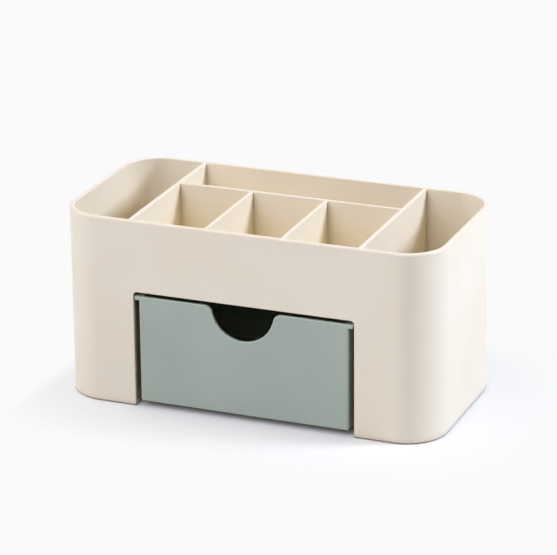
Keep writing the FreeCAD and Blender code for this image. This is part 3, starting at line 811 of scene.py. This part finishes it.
def plastic(name, looks, shades, alone):
    """A satin moulded plastic: its colour drifts a little, it has painted shade, warmer and darker, low in
    the compartments, painted dark shade in narrow gaps and in hollow roundings, and a painted highlight on
    its proud edges, which are also worn smoother, and its faces have a fine grain on a slow ripple. With
    alone set, as for a piece that moves, only hollows and gaps within the piece itself count for the painted
    shade."""
    _, tree = new_material(name)
    position = add_node(tree, "ShaderNodeTexCoord").outputs["Object"]
    grain = add_group(tree, "Moulded grain", {"Position": position, "Grain": looks.grain,
                                              "Ripple": looks.ripple, "Drift": looks.drift})
    proud = add_node(tree, "ShaderNodeAttribute", attribute_name="proud").outputs["Fac"]
    edge_light_and_wear = add_group(tree, "Edge polish", {"Proud": proud, "Break up": grain["Drift"]})

    drift = map_range(tree, grain["Drift"], *DRIFT_NOISE)
    face = blend_colours(tree, drift, shades.plain, shades.deep)
    # Painted shade in hollow roundings, in the deep colour.
    hollow_shade = blend_colours(tree, edge_light_and_wear["Hollow"], face, shades.deep)
    # Painted highlight on proud edges; the lower roughness set further down is real wear.
    rubbed_and_highlit = blend_colours(tree, edge_light_and_wear["Rubbed and highlit"], hollow_shade, shades.edge)
    # Painted shade, warmer and darker, where little open air is left within the reach.
    roomy = open_air(tree, looks.inside, LOW_SHADE_AIR, PLASTIC_RAYS, alone)
    low_shaded = blend_colours(tree, roomy, shades.inside, rubbed_and_highlit)
    # Painted shade in narrow gaps and between parts, dark where open air is scarce.
    clear = open_air(tree, looks.gap_shade, GAP_SHADE_AIR, PLASTIC_RAYS, alone)
    tint = blend_colours(tree, clear, shades.gap_shade, low_shaded)

    satin = math_node(tree, "MULTIPLY_ADD", grain["Ripple"], ROUGHNESS_DRIFT,
                      looks.roughness - ROUGHNESS_DRIFT / 2)
    gloss = blend_numbers(tree, edge_light_and_wear["Rubbed and highlit"], satin, looks.edge_roughness)
    slow = add_node(tree, "ShaderNodeBump", {"Height": grain["Ripple"], "Distance": looks.ripple_height})
    fine = add_node(tree, "ShaderNodeBump", {"Height": grain["Grain"], "Distance": looks.grain_height,
                                             "Normal": slow.outputs[0]})
    shader = add_node(tree, "ShaderNodeBsdfPrincipled", {"Base Color": tint, "Roughness": gloss,
                                                         "Normal": fine.outputs[0], "IOR": PLASTIC_IOR})
    add_node(tree, "ShaderNodeOutputMaterial", {"Surface": shader.outputs[0]})


def make_plastics(looks):
    """The node groups, the two plastics, and the cream of the runners, whose painted shade counts only the
    runners themselves and not the drawer beside them."""
    if "Moulded grain" not in bpy.data.node_groups:
        moulded_grain_group()
        edge_light_and_wear_group()
    plastic("cream_plastic", looks, tones(looks, "cream"), alone=False)
    plastic("cream_runner", looks, tones(looks, "cream"), alone=True)
    plastic("sage_plastic", looks, tones(looks, "sage"), alone=True)


# Stage: floor, light and camera.

def seen_directly(tree):
    """1 for rays that show the backdrop itself: straight from the camera, or by way of gloss or glass."""
    path = add_node(tree, "ShaderNodeLightPath").outputs
    glossy = math_node(tree, "MAXIMUM", path["Is Camera Ray"], path["Is Glossy Ray"])
    return math_node(tree, "MAXIMUM", glossy, path["Is Transmission Ray"])


def floor_card(looks):
    """The floor's material. It shows the shadow close to the organiser, where something stands over it, and
    turns into the backdrop further out and past the left end."""
    material, tree = new_material("studio_floor")
    clear = open_air(tree, looks.shadow_reach, (looks.shadow_core, 1.0), FLOOR_RAYS)
    position = add_node(tree, "ShaderNodeTexCoord").outputs["Object"]
    place = add_node(tree, "ShaderNodeSeparateXYZ", {0: position})
    left = HOUSING_LOW[0]
    beside = map_range(tree, place.outputs["X"], left, left - looks.shadow_left,
                       interpolation_type="SMOOTHSTEP")
    seen = seen_directly(tree)
    fade = math_node(tree, "MULTIPLY", math_node(tree, "MAXIMUM", clear, beside), seen)
    dimmed = tuple(looks.floor_bounce * share for share in looks.floor)
    tone = blend_colours(tree, seen, (*dimmed, 1.0), (*looks.floor, 1.0))
    card = add_node(tree, "ShaderNodeBsdfDiffuse", {"Color": tone})
    glow = add_node(tree, "ShaderNodeEmission", {"Color": (*looks.backdrop, 1.0), "Strength": 1.0})
    mixed = add_node(tree, "ShaderNodeMixShader", {0: fade, 1: card.outputs[0], 2: glow.outputs[0]})
    add_node(tree, "ShaderNodeOutputMaterial", {"Surface": mixed.outputs[0]})
    return material


def make_floor(looks):
    """A round floor: rings of points radius (cos a, sin a) about the origin, closer together near it."""
    turn = np.linspace(0, 2 * math.pi, FLOOR_SPOKES + 1)[:-1]
    radii = looks.floor_radius * np.linspace(0, 1, FLOOR_RINGS + 1)[1:, None] ** 2
    rings = columns(radii * np.cos(turn), radii * np.sin(turn), 0.0)
    near = np.arange(FLOOR_SPOKES)
    far = (near + 1) % FLOOR_SPOKES
    hub = np.stack((np.zeros_like(near), 1 + near, 1 + far), axis=-1)
    row = 1 + np.arange(FLOOR_RINGS - 1)[:, None] * FLOOR_SPOKES
    outer = row + FLOOR_SPOKES
    bands = np.stack((row + near, outer + near, outer + far, row + far), axis=-1).reshape(-1, 4)
    mesh = bpy.data.meshes.new("studio_floor")
    mesh.from_pydata(np.vstack((np.zeros(3), rings.reshape(-1, 3))), [], hub.tolist() + bands.tolist())
    mesh.materials.append(floor_card(looks))
    floor = bpy.data.objects.new("studio_floor", mesh)
    bpy.context.scene.collection.objects.link(floor)


def make_sky(looks):
    """Even light from all around, which shows as the backdrop's colour."""
    world = bpy.data.worlds.new("studio_sky")
    bpy.context.scene.world = world
    world.use_nodes = True
    tree = world.node_tree
    tree.nodes.clear()
    light = add_node(tree, "ShaderNodeBackground", {"Color": WHITE, "Strength": looks.sky})
    shown = add_node(tree, "ShaderNodeBackground", {"Color": (*looks.backdrop, 1.0), "Strength": 1.0})
    mixed = add_node(tree, "ShaderNodeMixShader",
                     {0: seen_directly(tree), 1: light.outputs[0], 2: shown.outputs[0]})
    add_node(tree, "ShaderNodeOutputWorld", {"Surface": mixed.outputs[0]})


def direction(turn, rise):
    """The way from the organiser to a place on a turn to the right of the front and a rise above the table:
    (sin turn cos rise, -cos turn cos rise, sin rise)."""
    return Vector((math.sin(turn) * math.cos(rise), -math.cos(turn) * math.cos(rise), math.sin(rise)))


def make_lamps(looks):
    """Square soft lamps that look at the organiser's middle. A lamp of power p at distance d makes a white
    face that looks at it as bright as p / (pi d)^2."""
    for name, place in LAMPS.items():
        lamp = bpy.data.lights.new(f"{name}_lamp", "AREA")
        lamp.energy = getattr(looks, name) * (math.pi * looks.lamp_distance) ** 2
        lamp.size = 2 * looks.lamp_distance * math.tan(math.radians(place.across) / 2)
        lamp.color = place.tint
        toward = direction(math.radians(place.turn), math.radians(place.rise))
        holder = bpy.data.objects.new(f"{name}_lamp", lamp)
        holder.location = MIDDLE + toward * looks.lamp_distance
        holder.rotation_euler = (-toward).to_track_quat("-Z", "Y").to_euler()
        holder.visible_camera = False
        bpy.context.scene.collection.objects.link(holder)


def make_camera(looks):
    """A camera on a turn and rise about the organiser's middle, rolled and aimed as in the photograph."""
    turn, roll = looks.camera_turn, looks.camera_roll
    back = direction(turn, looks.camera_rise)
    right = Vector((math.cos(turn), math.sin(turn), 0.0))
    up = back.cross(right)
    aim = MIDDLE + right * looks.aim_right + up * looks.aim_up
    rolled = right * math.cos(roll) + up * math.sin(roll)
    stance = Matrix((rolled, back.cross(rolled), back)).transposed().to_4x4()
    data = bpy.data.cameras.new("photo_camera")
    data.sensor_width = SENSOR_MILLIMETRES
    data.lens = looks.focal_widths * SENSOR_MILLIMETRES
    data.dof.use_dof = False
    data.clip_end = CAMERA_SIGHT
    camera = bpy.data.objects.new("photo_camera", data)
    camera.matrix_world = Matrix.Translation(aim + back * looks.camera_distance) @ stance
    bpy.context.scene.collection.objects.link(camera)
    bpy.context.scene.camera = camera


# Operators, one for each group of pieces and one for the stage.

class ORGANISER_OT_plastics(bpy.types.Operator):
    """Make the moulded plastics and give them to the pieces that keep their own solids"""

    bl_idname = "organiser.plastics"
    bl_label = "Plastics"

    def execute(self, context):
        make_plastics(context.scene.organiser.plastic)
        for name, finish in KEPT_SOLIDS.items():
            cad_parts[name].material_slots[0].material = bpy.data.materials[finish]
        return {"FINISHED"}


class ORGANISER_OT_housing(bpy.types.Operator):
    """Make the housing's smooth moulding"""

    bl_idname = "organiser.housing"
    bl_label = "Housing"

    def execute(self, context):
        looks = context.scene.organiser
        patches = housing_patches(looks.housing, looks.arc_steps, looks.corner_steps)
        make_piece("housing_moulding", patches, "housing", "cream_plastic", "housing_shell")
        return {"FINISHED"}


class ORGANISER_OT_panels(bpy.types.Operator):
    """Make the partitions and dividers with rounded top edges"""

    bl_idname = "organiser.panels"
    bl_label = "Partitions and dividers"

    def execute(self, context):
        looks = context.scene.organiser
        for node, axis in PANELS.items():
            patches = panel_patches(*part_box(node), axis, looks.housing.panel_edge, looks.arc_steps)
            make_piece(f"{node}_panel", patches, "housing", "cream_plastic", node)
        return {"FINISHED"}


class ORGANISER_OT_drawer(bpy.types.Operator):
    """Make the drawer tray with its lip and finger notch"""

    bl_idname = "organiser.drawer"
    bl_label = "Drawer tray"

    def execute(self, context):
        looks = context.scene.organiser
        patches = tray_patches(looks.drawer, looks.housing.opening_width, looks.arc_steps)
        make_piece("drawer_moulding", patches, "drawer", "sage_plastic", "drawer_tray")
        return {"FINISHED"}


class ORGANISER_OT_stage(bpy.types.Operator):
    """Set up the floor, the lights and the camera"""

    bl_idname = "organiser.stage"
    bl_label = "Stage"

    def execute(self, context):
        looks = context.scene.organiser.stage
        make_floor(looks)
        make_sky(looks)
        make_lamps(looks)
        make_camera(looks)
        context.scene.view_settings.view_transform = "Standard"
        return {"FINISHED"}


STEPS = (ORGANISER_OT_plastics, ORGANISER_OT_housing, ORGANISER_OT_panels, ORGANISER_OT_drawer,
         ORGANISER_OT_stage)


class ORGANISER_PT_sidebar(bpy.types.Panel):
    """Lists the steps and the properties of the organiser"""

    bl_idname = "ORGANISER_PT_sidebar"
    bl_label = "Makeup organiser"
    bl_space_type = "VIEW_3D"
    bl_region_type = "UI"
    bl_category = "Organiser"

    def draw(self, context):
        looks = context.scene.organiser
        for step in STEPS:
            self.layout.operator(step.bl_idname)
        for group in (looks, looks.housing, looks.drawer, looks.plastic, looks.stage):
            box = self.layout.box()
            for item in group.bl_rna.properties:
                if item.type in ("FLOAT", "INT"):
                    box.prop(group, item.identifier)


CLASSES = (HousingLooks, DrawerLooks, PlasticLooks, StageLooks, OrganiserLooks, *STEPS,
           ORGANISER_PT_sidebar)


def register():
    """Registers the classes and hangs the properties on the scene."""
    for item in CLASSES:
        bpy.utils.register_class(item)
    bpy.types.Scene.organiser = PointerProperty(type=OrganiserLooks)


def unregister():
    """Takes off what register put there."""
    del bpy.types.Scene.organiser
    for item in reversed(CLASSES):
        bpy.utils.unregister_class(item)


def main():
    """Builds the organiser and its stage."""
    register()
    bpy.ops.organiser.plastics()
    bpy.ops.organiser.housing()
    bpy.ops.organiser.panels()
    bpy.ops.organiser.drawer()
    bpy.ops.organiser.stage()


if __name__ == "__main__":
    main()
